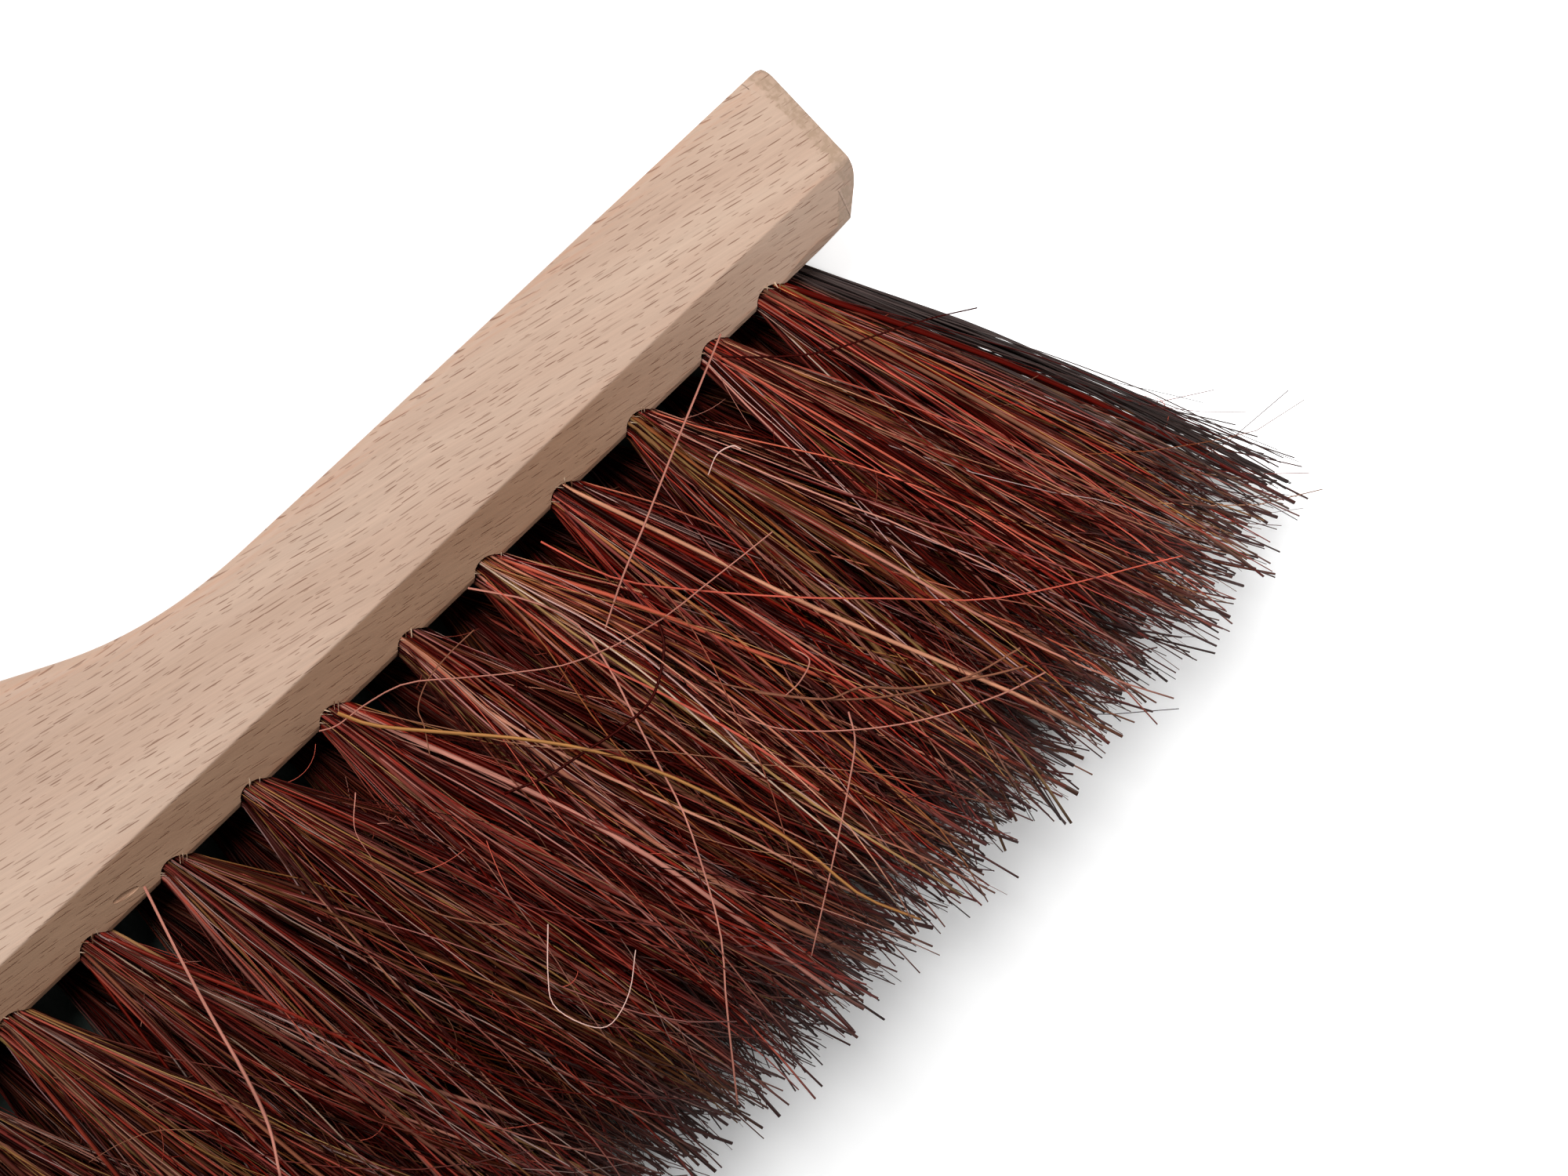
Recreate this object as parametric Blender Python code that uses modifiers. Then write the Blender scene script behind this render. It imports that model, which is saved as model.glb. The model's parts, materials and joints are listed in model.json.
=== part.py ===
"""Bee brush: a beech block and handle in one piece, with bristles of coarse plant fibre.

The brush lies on its side. +X runs along the block to its tip, the bristles point to -Y, and +Z is
the block's thickness. Two rows of tufts and one end tuft sit in blind holes drilled in the bristle
face. Each tuft is folded over a short piece of flat wire, whose ends bite into the hole's wall.
Lengths are in metres. Places along the block are distances back from its tip.
"""

import math
import random

import bmesh
import bpy
from mathutils import Vector

# Block and handle.
LENGTH = 0.325
THICKNESS = 0.024
TIP_ROUND = 0.0023  # radius round the flat end face
TIP_CUT = 0.0051  # height of the corner cut off at the tip's bristle side
TIP_CUT_SLOPE = 0.864
TIP_EASE = (0.0101, 0.228)  # where the flatter second cut ends, and its slope
BEVEL_DEPTH = 0.0059  # bevel between side face and bristle face, down the side
BEVEL_WIDTH = 0.0054  # the same bevel across the thickness
SPINE_ROUND = 0.0013  # edge radius of the spine on the head
GRIP_ROUND = 0.0098  # edge radius of the handle, across the thickness
GRIP_ROUND_HIGH = 0.0112  # edge radius of the handle, up its height
SPINE_BLEND = (0.082, 0.205)  # stretch where the spine's edge grows into the handle's
HEEL_BLEND = (0.168, 0.206)  # stretch where the bevel grows into the handle's round
END_ROUND = 0.014  # length of the handle's rounded end
HANG_HOLE_RADIUS = 0.004
HANG_HOLE_PLACE = 0.309

# Spine and underside in profile: (distance from the tip, height over the bristle face, slope).
SPINE = [
    (0.000, 0.0215, 0.007),
    (0.087, 0.0221, 0.007),
    (0.1085, 0.0273, 0.49),
    (0.118, 0.0319, 0.49),
    (0.144, 0.0398, 0.12),
    (0.230, 0.0445, 0.0),
    (0.325, 0.0430, -0.03),
]
HEEL = [
    (0.176, 0.0, 0.04),
    (0.184, 0.0032, 0.80),
    (0.196, 0.0132, 0.76),
    (0.213, 0.0190, 0.02),
    (0.262, 0.0165, 0.0),
    (0.311, 0.0190, 0.05),
    (0.325, 0.0197, 0.05),
]

# Holes, tufts and anchors.
HOLE_RADIUS = 0.0026
HOLE_DEPTH = 0.0125
HOLE_POINT = 0.0009  # depth of the drill's point past the hole's wall
DRILL_LEAD = 0.008  # the drill's path starts this far outside the bristle face
PLUG_RADIUS = 0.0023
PLUG_TOP = 0.001  # the strands leave the folded root this far inside the hole
GAP = 0.0003
ROW_OFFSET = 0.0052  # each row's distance from the middle of the thickness
END_TUFT_PLACE = 0.0131
UPPER_START = (0.0178, 0.0274)  # first two tufts of the upper row
LOWER_START = (0.0200, 0.0322)  # the lower row stands in the upper row's gaps
ROW_PITCH = 0.0126  # from the second tuft on
ROW_COUNT = 13
END_TUFT_LEAN = math.radians(18.5)
FIRST_LEAN = math.radians(15.5)
ROW_LEAN = (math.radians(13.5), math.radians(8.5))  # second tuft and last tuft of a row
BRISTLE_REACH = 0.066  # square to the bristle face
RAGGED = 0.0045  # how far the strands' ends differ
SPREAD = (2.6, 2.6)  # growth of a tuft from root to end, along the block and across it
END_SPREAD = (1.9, 2.2)  # the same for the end tuft, which has less room
STRAND_TAPER = (0.88, 0.42)  # strand width at half length and at its end, against its root
STRAND_BEND = 0.00025  # most that a strand bends aside at half its length
ANCHOR_SIZE = (0.007, 0.0005, 0.002)
ANCHOR_DEPTH = 0.0099

RING_STEPS = 4  # facets in each rounded or bevelled edge
HOLE_SIDES = 16


def linear(code):
    """The linear colour of an sRGB hex code."""
    parts = [int(code[i : i + 2], 16) / 255 for i in (1, 3, 5)]
    return [c / 12.92 if c <= 0.04045 else ((c + 0.055) / 1.055) ** 2.4 for c in parts] + [1.0]


def make_material(name, code, roughness, metallic=0.0):
    material = bpy.data.materials.new(name)
    material.use_nodes = True
    shader = material.node_tree.nodes["Principled BSDF"]
    shader.inputs["Base Color"].default_value = linear(code)
    shader.inputs["Roughness"].default_value = roughness
    shader.inputs["Metallic"].default_value = metallic
    material.diffuse_color = linear(code)
    return material


def add_object(name, bm, collection, parent, material=None):
    """Closes the bmesh into a named object under the parent."""
    mesh = bpy.data.meshes.new(name)
    bm.to_mesh(mesh)
    bm.free()
    obj = bpy.data.objects.new(name, mesh)
    collection.objects.link(obj)
    obj.parent = parent
    if material:
        mesh.materials.append(material)
    return obj


def mark_cutter(obj):
    obj.hide_render = True
    obj.display_type = "WIRE"


def smooth_step(distance, stretch):
    share = min(max((distance - stretch[0]) / (stretch[1] - stretch[0]), 0.0), 1.0)
    return share * share * (3 - 2 * share)


def mix(low, high, share):
    return low + (high - low) * share


def height_on(line, distance):
    """Height of a profile line, a smooth curve through knots of (distance, height, slope)."""
    for (x0, y0, m0), (x1, y1, m1) in zip(line, line[1:]):
        if distance <= x1:
            break
    span = x1 - x0
    t = (distance - x0) / span
    rise = y0 * (2 * t**3 - 3 * t**2 + 1) + y1 * (3 * t**2 - 2 * t**3)
    return rise + span * (m0 * (t**3 - 2 * t**2 + t) + m1 * (t**3 - t**2))


def underside(distance):
    """Height of the bristle side over the bristle face: cut at the tip, raised past the heel."""
    if distance >= HEEL[0][0]:
        return height_on(HEEL, distance)
    steep = TIP_CUT - TIP_CUT_SLOPE * distance
    flat = (TIP_EASE[0] - distance) * TIP_EASE[1]
    return max(steep, flat, 0.0)


def tip_inset(distance):
    """How far the rounded edge of the end face draws the section in."""
    short = max(TIP_ROUND - distance, 0.0)
    return TIP_ROUND - math.sqrt(TIP_ROUND**2 - short**2)


def end_shrink(distance):
    """The handle's rounded end, as one factor for its height and one for its thickness."""
    over = max(distance - (LENGTH - END_ROUND), 0.0) / END_ROUND
    round_off = math.sqrt(max(1.0 - over**2, 0.0))
    return round_off, round_off**0.5


def section(distance):
    """One cross-section of the block, as (height, thickness) pairs from bottom to top and back."""
    low = underside(distance)
    high = height_on(SPINE, distance) - tip_inset(distance)
    half = THICKNESS / 2 - tip_inset(distance)
    grip = smooth_step(distance, HEEL_BLEND)
    left = 1.0 - low / BEVEL_DEPTH if distance < HEEL[0][0] else 1.0
    bevel_high = mix(BEVEL_DEPTH * left, GRIP_ROUND_HIGH, grip)
    bevel_wide = mix(BEVEL_WIDTH * left, GRIP_ROUND, grip)
    blend = smooth_step(distance, SPINE_BLEND)
    round_wide = mix(SPINE_ROUND, GRIP_ROUND, blend)
    round_high = mix(SPINE_ROUND, GRIP_ROUND_HIGH, blend)
    side = []
    for step in range(RING_STEPS + 1):
        share = step / RING_STEPS
        turn = share * math.pi / 2
        up = mix(share, 1 - math.cos(turn), grip)
        out = mix(share, math.sin(turn), grip)
        side.append((low + bevel_high * up, half - bevel_wide * (1 - out)))
    for step in range(RING_STEPS + 1):
        turn = step / RING_STEPS * math.pi / 2
        side.append((high - round_high * (1 - math.sin(turn)), half - round_wide * (1 - math.cos(turn))))
    shrink_high, shrink_wide = end_shrink(distance)
    middle = (low + high) / 2
    side = [(middle + (y - middle) * shrink_high, z * shrink_wide) for y, z in side]
    return side + [(y, -z) for y, z in reversed(side)]


def steps_between(start, stop, count):
    return [mix(start, stop, i / count) for i in range(count)]


def block_stations():
    """Where the block's sections stand: close together where its outline turns."""
    tip = [TIP_ROUND * (1 - math.cos(math.radians(a))) for a in (0, 30, 55, 75)]
    corner = (TIP_CUT - TIP_EASE[0] * TIP_EASE[1]) / (TIP_CUT_SLOPE - TIP_EASE[1])  # the tip's cuts meet
    head = [TIP_ROUND, corner, TIP_EASE[0], 0.040]
    flare = steps_between(SPINE[1][0], SPINE[4][0], 15)
    heel = steps_between(SPINE[4][0], HEEL[0][0], 4) + steps_between(HEEL[0][0], HEEL[3][0], 14)
    handle = steps_between(HEEL[3][0], LENGTH - END_ROUND, 10)
    end = [LENGTH - END_ROUND * (1 - math.sin(math.radians(a))) for a in (0, 25, 48, 66, 80)]
    return tip + head + flare + heel + handle + end


def build_block(collection, parent, material):
    bm = bmesh.new()
    rings = []
    for distance in block_stations():
        rings.append([bm.verts.new((-distance, y, z)) for y, z in section(distance)])
    for ring, following in zip(rings, rings[1:]):
        for i, vert in enumerate(ring):
            after = (i + 1) % len(ring)
            bm.faces.new((vert, ring[after], following[after], following[i]))
    bm.faces.new(rings[0])
    bm.faces.new(rings[-1])
    bmesh.ops.remove_doubles(bm, verts=bm.verts, dist=1e-7)
    bmesh.ops.recalc_face_normals(bm, faces=bm.faces)
    return add_object("block_and_handle", bm, collection, parent, material)


def place_in_hole(obj, spot):
    """Sets an object on a hole's mouth with its own +Z out along the hole and +Y up."""
    distance, across, lean = spot
    obj.location = (-distance, 0.0, across)
    obj.rotation_euler = (math.pi / 2, 0.0, lean)


def build_hole_cutter(name, collection, parent, spot):
    """A drill's path: a cylinder with a low point, turned from half its outline."""
    outline = [
        (0.0, DRILL_LEAD),
        (HOLE_RADIUS, DRILL_LEAD),
        (HOLE_RADIUS, -HOLE_DEPTH),
        (0.0, -HOLE_DEPTH - HOLE_POINT),
    ]
    bm = bmesh.new()
    verts = [bm.verts.new((x, 0.0, z)) for x, z in outline]
    for vert, following in zip(verts, verts[1:]):
        bm.edges.new((vert, following))
    cutter = add_object(name, bm, collection, parent)
    screw = cutter.modifiers.new("turn", "SCREW")
    screw.axis = "Z"
    screw.steps = HOLE_SIDES
    screw.render_steps = HOLE_SIDES
    screw.use_merge_vertices = True
    screw.merge_threshold = 1e-6
    place_in_hole(cutter, spot)
    mark_cutter(cutter)


def build_bar(name, size, collection, parent, spot, material=None):
    """A straight bar across a hole, at the depth where the tuft is folded."""
    bm = bmesh.new()
    bmesh.ops.create_cube(bm, size=1.0)
    bmesh.ops.scale(bm, vec=size, verts=bm.verts)
    bmesh.ops.translate(bm, vec=(0, 0, -ANCHOR_DEPTH), verts=bm.verts)
    bar = add_object(name, bm, collection, parent, material)
    place_in_hole(bar, spot)
    return bar


def grow_strand(bm, face, length, spread, rng):
    """Draws one cell of the root's top out into a tapered strand with a slight bend."""
    root = face.calc_center_median()
    bend = rng.uniform(-STRAND_BEND, STRAND_BEND)
    for share, width in zip((0.5, 1.0), STRAND_TAPER):
        drawn = bmesh.ops.extrude_discrete_faces(bm, faces=[face])
        face = drawn["faces"][0]
        centre = face.calc_center_median()
        goal = Vector((
            root.x * mix(1, spread[0], share) + bend * (1 if share < 1 else -1),
            root.y * mix(1, spread[1], share),
            -PLUG_TOP + (length + PLUG_TOP) * share,
        ))
        for vert in face.verts:
            offset = vert.co - centre
            offset.z = 0
            vert.co = goal + offset * (width if share < 1 else width / STRAND_TAPER[0])


def build_tuft(name, collection, parent, spot, bar, material, rng):
    """A folded root with a tunnel for its anchor, and the strands that leave the hole."""
    bm = bmesh.new()
    bmesh.ops.create_circle(bm, cap_ends=True, cap_tris=True, segments=6, radius=PLUG_RADIUS)
    bmesh.ops.subdivide_edges(bm, edges=bm.edges[:], cuts=1, use_grid_fill=True)
    bmesh.ops.triangulate(bm, faces=bm.faces[:])
    middle = min(bm.verts, key=lambda vert: vert.co.length)
    inner = list(middle.link_faces)
    outer = []
    for face in bm.faces:
        above = sum(vert.co.y > face.calc_center_median().y for vert in face.verts)
        if face not in inner and above == 1:  # every second cell, so that the strands stay apart
            outer.append(face)
    for vert in bm.verts:
        if vert.is_boundary:
            vert.co *= PLUG_RADIUS / vert.co.length
    bmesh.ops.translate(bm, vec=(0, 0, -PLUG_TOP), verts=bm.verts)
    bmesh.ops.recalc_face_normals(bm, faces=bm.faces)
    if bm.faces[0].normal.z < 0:
        bmesh.ops.reverse_faces(bm, faces=bm.faces)

    rim = [edge for edge in bm.edges if edge.is_boundary]
    drawn = bmesh.ops.extrude_edge_only(bm, edges=rim)
    wall = [item for item in drawn["geom"] if isinstance(item, bmesh.types.BMVert)]
    bmesh.ops.translate(bm, vec=(0, 0, -(HOLE_DEPTH - GAP - PLUG_TOP)), verts=wall)
    bmesh.ops.contextual_create(bm, geom=[edge for edge in bm.edges if edge.is_boundary])

    slant = 1 / math.cos(spot[2])
    spread = SPREAD if spot[1] else END_SPREAD
    for face in inner + outer:
        length = BRISTLE_REACH * slant + rng.uniform(-RAGGED, RAGGED)
        grow_strand(bm, face, length, spread, rng)
    bmesh.ops.recalc_face_normals(bm, faces=bm.faces)

    tuft = add_object(name, bm, collection, parent, material)
    tunnel = tuft.modifiers.new("anchor tunnel", "BOOLEAN")
    tunnel.operation = "DIFFERENCE"
    tunnel.object = bar
    place_in_hole(tuft, spot)


def hole_spots():
    """Every hole by its tuft's name: distance from the tip, height across, and lean to the tip."""
    spots = {"end": (END_TUFT_PLACE, 0.0, END_TUFT_LEAN)}
    for row, across, (first, second) in (
        ("upper", ROW_OFFSET, UPPER_START),
        ("lower", -ROW_OFFSET, LOWER_START),
    ):
        spots[f"{row}_01"] = (first, across, FIRST_LEAN)
        for i in range(ROW_COUNT - 1):
            lean = mix(*ROW_LEAN, i / (ROW_COUNT - 2))
            spots[f"{row}_{i + 2:02d}"] = (second + ROW_PITCH * i, across, lean)
    return spots


def build_hang_hole_cutter(collection, parent):
    middle = (height_on(SPINE, HANG_HOLE_PLACE) + height_on(HEEL, HANG_HOLE_PLACE)) / 2
    bm = bmesh.new()
    bmesh.ops.create_cone(
        bm,
        cap_ends=True,
        segments=24,
        radius1=HANG_HOLE_RADIUS,
        radius2=HANG_HOLE_RADIUS,
        depth=THICKNESS * 1.5,
    )
    cutter = add_object("cut_hang_hole", bm, collection, parent)
    cutter.location = (-HANG_HOLE_PLACE, middle, 0.0)
    mark_cutter(cutter)


def stand_on_origin(frame, objects):
    """Moves the whole brush so that the bottom centre of its box is the origin."""
    bpy.context.view_layer.update()
    graph = bpy.context.evaluated_depsgraph_get()
    points = []
    for obj in objects:
        evaluated = obj.evaluated_get(graph)
        points += [evaluated.matrix_world @ vert.co for vert in evaluated.data.vertices]
    low = [min(point[i] for point in points) for i in range(3)]
    high = [max(point[i] for point in points) for i in range(3)]
    frame.location = (-(low[0] + high[0]) / 2, -(low[1] + high[1]) / 2, -low[2])


def main():
    for obj in list(bpy.data.objects):
        bpy.data.objects.remove(obj)
    parts = bpy.data.collections.new("bee_brush")
    cutters = bpy.data.collections.new("cutters")
    for collection in (parts, cutters):
        bpy.context.scene.collection.children.link(collection)
    frame = bpy.data.objects.new("brush_frame", None)
    parts.objects.link(frame)

    beech = make_material("beech", "#D3B497", 0.55)
    wire = make_material("anchor_wire", "#BDBBB6", 0.35, 1.0)
    fibres = [
        make_material("dark_fibre", "#2A1A14", 0.5),
        make_material("red_brown_fibre", "#6B3323", 0.5),
        make_material("orange_brown_fibre", "#8C5230", 0.5),
    ]

    block = build_block(parts, frame, beech)
    slot_size = (ANCHOR_SIZE[0] + 2 * GAP, ANCHOR_SIZE[1] + 2 * GAP, ANCHOR_SIZE[2] + 2 * GAP)
    for i, (name, spot) in enumerate(hole_spots().items()):
        build_hole_cutter(f"cut_hole_{name}", cutters, frame, spot)
        slot = build_bar(f"cut_slot_{name}", slot_size, cutters, frame, spot)
        mark_cutter(slot)
        build_bar(f"anchor_{name}", ANCHOR_SIZE, parts, frame, spot, wire)
        rng = random.Random(i)
        build_tuft(f"tuft_{name}", parts, frame, spot, slot, fibres[i % len(fibres)], rng)
    build_hang_hole_cutter(cutters, frame)
    drill = block.modifiers.new("holes and slots", "BOOLEAN")
    drill.operation = "DIFFERENCE"
    drill.operand_type = "COLLECTION"
    drill.collection = cutters
    drill.solver = "EXACT"
    block.data.polygons.foreach_set("use_smooth", [True] * len(block.data.polygons))
    block.data.set_sharp_from_angle(angle=math.radians(30))
    stand_on_origin(frame, [obj for obj in parts.objects if obj.type == "MESH"])
    print("brush frame at", tuple(round(c, 5) for c in frame.location))


main()
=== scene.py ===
import json
from functools import partial
from math import atan2, ceil, copysign, cos, exp, pi, radians, sin, sqrt, tan

import bmesh
import bpy
import numpy as np
from mathutils import Matrix, Vector


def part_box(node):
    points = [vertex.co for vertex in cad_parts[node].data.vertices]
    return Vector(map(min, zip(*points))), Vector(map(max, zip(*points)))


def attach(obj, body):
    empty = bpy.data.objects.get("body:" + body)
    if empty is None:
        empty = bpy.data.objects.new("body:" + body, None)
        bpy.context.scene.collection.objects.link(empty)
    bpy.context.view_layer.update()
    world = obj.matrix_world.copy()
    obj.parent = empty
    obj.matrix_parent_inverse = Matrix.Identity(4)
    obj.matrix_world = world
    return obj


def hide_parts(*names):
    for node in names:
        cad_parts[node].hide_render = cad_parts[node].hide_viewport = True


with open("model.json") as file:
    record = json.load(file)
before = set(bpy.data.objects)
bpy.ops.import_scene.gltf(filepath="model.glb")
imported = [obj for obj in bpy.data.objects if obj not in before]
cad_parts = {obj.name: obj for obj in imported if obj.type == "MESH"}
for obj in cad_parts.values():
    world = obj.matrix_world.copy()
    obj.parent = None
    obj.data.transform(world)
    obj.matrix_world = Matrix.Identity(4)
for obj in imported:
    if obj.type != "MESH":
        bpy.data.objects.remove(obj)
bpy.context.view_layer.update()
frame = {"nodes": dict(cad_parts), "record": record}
mm = 0.001

blockLow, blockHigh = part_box("block_and_handle")
tipX = blockHigh.x  # the flat end of the block
faceY = blockLow.y  # the bristle face
middleZ = (blockLow.z + blockHigh.z) / 2
thickness = blockHigh.z - blockLow.z


def linearColor(code):
    # sRGB hex to the linear numbers that a shader wants
    parts = [int(code[i:i + 2], 16) / 255 for i in (1, 3, 5)]
    return [c / 12.92 if c <= 0.04045 else ((c + 0.055) / 1.055) ** 2.4 for c in parts] + [1.0]


def addNode(tree, kind, values=None, stops=()):
    # a node, such as Mix or Math.ADD, with its settings by name, inputs by name or number, and a ramp's
    # stops; an input is a number, a hex colour, or the output or node (its first output) to link from
    kind, _, operation = kind.partition(".")
    node = tree.nodes.new("ShaderNode" + kind)
    if operation:
        node.operation = operation
    for name, value in (values or {}).items():
        if isinstance(value, bpy.types.Node):
            value = value.outputs[0]
        elif isinstance(value, str) and value.startswith("#"):
            value = linearColor(value)
        if isinstance(value, bpy.types.NodeSocket):
            tree.links.new(value, node.inputs[name])
        elif isinstance(name, str) and hasattr(node, name):
            setattr(node, name, value)
        else:
            node.inputs[name].default_value = value
    for i, (place, value) in enumerate(stops):
        elements = node.color_ramp.elements
        element = elements[i] if i < 2 else elements.new(place)
        element.position = place
        element.color = linearColor(value) if isinstance(value, str) else (value, value, value, 1)
    return node


def emptyTree(owner):
    # a function that adds nodes to the emptied tree of a material or world
    owner.use_nodes = True
    owner.node_tree.nodes.clear()
    return partial(addNode, owner.node_tree)


def newMaterial(name):
    material = bpy.data.materials.new(name)
    return material, emptyTree(material)


def addObject(name, data):
    piece = bpy.data.objects.new(name, data)
    bpy.context.scene.collection.objects.link(piece)
    return piece


def select(pieces):
    bpy.ops.object.select_all(action="DESELECT")
    for piece in pieces:
        piece.select_set(True)
    bpy.context.view_layer.objects.active = pieces[0]


def joined(pieces):
    # all of them as one object, the first one
    select(pieces)
    bpy.ops.object.join()
    return bpy.context.object


viewValues = {
    "place": (-104.5, 0.6, 377.3),  # mm from the tip's middle on the bristle face
    "look": (0.1674, -0.0712, -0.9833),
    "up": (0.6911, 0.7197, 0.0655),
    "lens": 72.0,
    "keyPlace": (-0.12, 0.62, 1.18),  # m from the head's middle
    "keySize": 0.75,
    "keyPower": 18.5,
    "fillPower": 0.14,
    "sidePlace": (0.17, -0.10, 0.10),  # m, a weak lamp near the tip
    "sideSize": 0.1,
    "sidePower": 0.1,
    "tableLift": 0.2,  # how far the camera sees the table brighter than the lamps make it
    "liftReach": 0.036,  # m from the brush, where that is full
    "liftOpening": (0.1, 0.42),  # share of open sky at which it starts and is full
    # right of a line through a point, as mm from the tip and mm over the bristle face, and at these
    # degrees, the table is brighter still, by the lift, which comes over the fade in mm
    "clearEdge": ((-12.0, 0.0), 24.0),
    "clearLift": 0.6,
    "clearFade": 5.0,
    "tableSize": 6,  # m
    "tableGap": 0.1,  # mm under the brush
    "tableColor": "#F4F4F4",
    "underColor": "#5A6660",  # painted shade: the table's colour right under the brush, where hardly any light comes
}


def addCamera(values):
    camera = addObject("camera", bpy.data.cameras.new("camera"))
    back = -Vector(values["look"]).normalized()
    right = Vector(values["up"]).cross(back).normalized()
    up = back.cross(right)
    turn = Matrix((right, up, back)).transposed().to_4x4()
    place = Vector((tipX, faceY, middleZ)) + Vector(values["place"]) * mm
    camera.matrix_world = Matrix.Translation(place) @ turn
    camera.data.lens = values["lens"]
    camera.data.sensor_width = 36
    camera.data.clip_start = 0.01
    bpy.context.scene.camera = camera


def addLights(values):
    target = Vector((tipX - 0.09, faceY, 0.0))
    for name in ("key", "side"):
        lamp = bpy.data.lights.new(name + "Lamp", "AREA")
        lamp.shape = "DISK"
        lamp.size = values[name + "Size"]
        lamp.energy = values[name + "Power"]
        lampObject = addObject(name + "Lamp", lamp)
        offset = Vector(values[name + "Place"])
        lampObject.location = target + offset
        lampObject.rotation_euler = (-offset).to_track_quat("-Z", "Y").to_euler()

    world = bpy.data.worlds.new("studio")
    bpy.context.scene.world = world
    add = emptyTree(world)
    seen = add("LightPath").outputs["Is Camera Ray"]
    white = add("Background", {"Color": (1, 1, 1, 1), "Strength": 1.0})
    fill = add("Background", {"Color": (1, 1, 1, 1), "Strength": values["fillPower"]})
    add("OutputWorld", {"Surface": add("MixShader", {0: seen, 1: fill, 2: white})})


def addTable(values):
    bpy.ops.mesh.primitive_plane_add(size=values["tableSize"], location=(0, 0, -values["tableGap"] * mm))
    table = bpy.context.object
    table.name = "table"
    material, add = newMaterial("paintedWhiteTable")
    seen = add("LightPath").outputs["Is Camera Ray"]
    # right under the brush the table stays as dark as the lamps leave it
    clear = add("AmbientOcclusion", {"Distance": values["liftReach"]}).outputs["AO"]
    least, most = values["liftOpening"]
    opening = add("MapRange", {0: clear, "From Min": least, "From Max": most})
    shaded = add("Math.MULTIPLY", {0: opening, 1: clear})
    lifted = add("Math.MULTIPLY", {0: shaded, 1: values["tableLift"]})
    # painted light: beside the block's tip the camera sees the table brighter still, nearly up to the brush,
    # which hides the brush's shadow there
    (x, y), turn = values["clearEdge"]
    across = Vector((cos(radians(turn)), sin(radians(turn)), 0))
    edge = across.dot((tipX + x * mm, faceY + y * mm, 0))
    place = add("TexCoord").outputs["Object"]
    beside = add("VectorMath.DOT_PRODUCT", {0: place, 1: across}).outputs["Value"]
    paintedLightBeside = add("MapRange", {
        0: beside, "From Min": edge, "From Max": edge + values["clearFade"] * mm,
        "To Max": values["clearLift"]})
    total = add("Math.ADD", {0: lifted, 1: paintedLightBeside})
    strength = add("Math.MULTIPLY", {0: seen, 1: total})
    # painted shade: where the table sees little open sky its colour goes dark
    tint = add("Mix", {"data_type": "RGBA", 0: opening, 6: values["underColor"], 7: values["tableColor"]})
    paint = add("BsdfDiffuse", {"Color": tint.outputs[2]})
    lift = add("Emission", {"Color": (1, 1, 1, 1), "Strength": strength})
    add("OutputMaterial", {"Surface": add("AddShader", {0: paint, 1: lift})})
    table.data.materials.append(material)


blockValues = {
    "tipChamfer": (2.4, 0.85),  # mm, at the flat end: along the block, and down the side face
    # flat across the tip's lower corner: half width at its foot, more per mm from the end, more per
    # mm over the bristle face
    "tipFacet": (3.6, 0.49, 1.27),
    "tipRidge": (4.8, 5.0),  # the bevel's upper edge is sanded off here: mm from the end, more edge radius
    "tipRound": 0.35,  # radius between chamfer and flat end
    "tipEdge": 1.0,  # the same at the spine and the bristle side
    "tipCut": (3.85, 1.0),  # corner cut at the tip's bristle side: height and slope
    "tipEase": (9.0, 0.045),  # where the bristle face has its full depth, and its slope up to there
    "bevel": (5.9, 5.4),  # between side face and bristle face: down the side, across
    "gripBevel": (6.6, 5.75),  # the same on the handle, where it is rounded over
    "rim": (0.35, 0.4),  # small chamfer between bevel and bristle face: up the bevel, across
    "endRim": (0.9, 0.8),  # the same where the end tuft's hole has torn it
    "endTorn": ((5, 9.5), (11, 14)),  # mm from the tip, over which that comes and goes
    "gripRim": (1.9, 1.7),
    # edge radii at head and handle, of the chamfer, the bevel's upper edge and the spine
    "rimRound": (0.3, 10.0),
    "ridgeRound": (0.45, 10.5),
    "spineRound": (1.3, 9.9),
    "spineBlend": (95, 185),  # mm from the tip, where the spine's edge widens
    # along the neck that edge is more a flat than round: by what share, where it comes and goes
    "spineFlat": (0.65, (112, 124), (160, 200)),
    "heelBlend": (168, 206),  # where the bevel grows into the handle's round
    "edgeRub": (0.0, 1.0, 0.3, 0.9, 0.9),  # wear of each edge, from the bristle face to the spine
    "smoothTo": 28.0,  # degrees, edges up to this are shaded as smooth
    "length": 325.0,
    "endRound": 14.0,
    "hangHole": (309.0, 4.0, 50.0),  # place from the tip, radius, and the drill's length
    "holeRadius": 2.6,
    "holeDepth": 12.6,
    "drillLead": 8.0,  # the drill's path starts this far outside the bristle face
    "dent": (121.7, 1.8),  # a torn sliver's bed in the bevel: mm from the tip, mm over the bristle face
    "dentRadii": (1.8, 0.5, 0.25),
    "dentTurn": -16.0,  # degrees off the block's length
}
# profile knots: mm from the tip, height over the bristle face, slope
spineLine = [(0, 20.85, 0.003), (84, 21.15, 0.01), (108.5, 26.15, 0.48), (118, 30.8, 0.49),
             (144, 39.6, 0.13), (230, 44.5, 0.0), (325, 43.0, -0.03)]
heelLine = [(176, 0.0, 0.04), (184, 3.2, 0.80), (196, 13.2, 0.76), (213, 19.0, 0.02),
            (262, 16.5, 0.0), (311, 19.0, 0.05), (325, 19.7, 0.05)]


def smoothStep(place, stretch):
    share = min(max((place - stretch[0]) / (stretch[1] - stretch[0]), 0.0), 1.0)
    return share * share * (3 - 2 * share)


def blend(low, high, share):
    return low + (high - low) * share


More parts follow.
